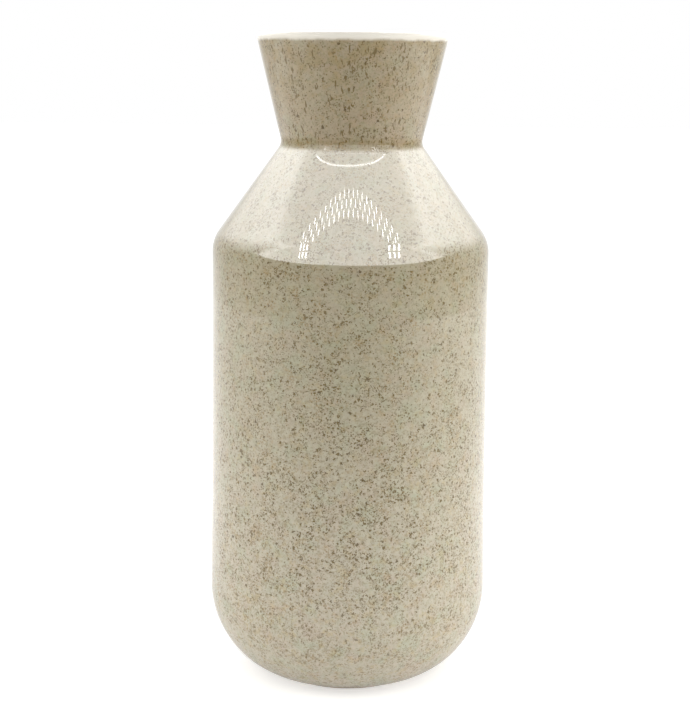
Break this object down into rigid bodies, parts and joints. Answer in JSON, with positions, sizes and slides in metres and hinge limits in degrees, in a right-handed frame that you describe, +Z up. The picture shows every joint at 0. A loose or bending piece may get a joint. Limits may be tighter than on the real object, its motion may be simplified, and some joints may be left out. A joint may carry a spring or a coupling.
{
  "type": "bottle vase",
  "caption": "Tall ceramic bottle vase: straight body with a rounded lower corner, sloped shoulder, narrow waist and flared collar.",
  "frame": {"origin": "centre of the foot ring's sole, on the table", "axes": "+Z up along the axis of revolution; +X to the right and +Y away from the viewer, though the vase is the same all round"},
  "size_m": [0.133, 0.133, 0.305],
  "materials": {
    "bare_stoneware": "unglazed, matt, slightly sandy",
    "speckled_glaze": "glossy cream with fine brown speckle",
    "liner_glaze": "glossy plain cream"
  },
  "bodies": {
    "root": {"stoneware_body": "bare_stoneware", "speckled_glaze": "speckled_glaze", "liner_glaze": "liner_glaze"}
  },
  "joints": []
}
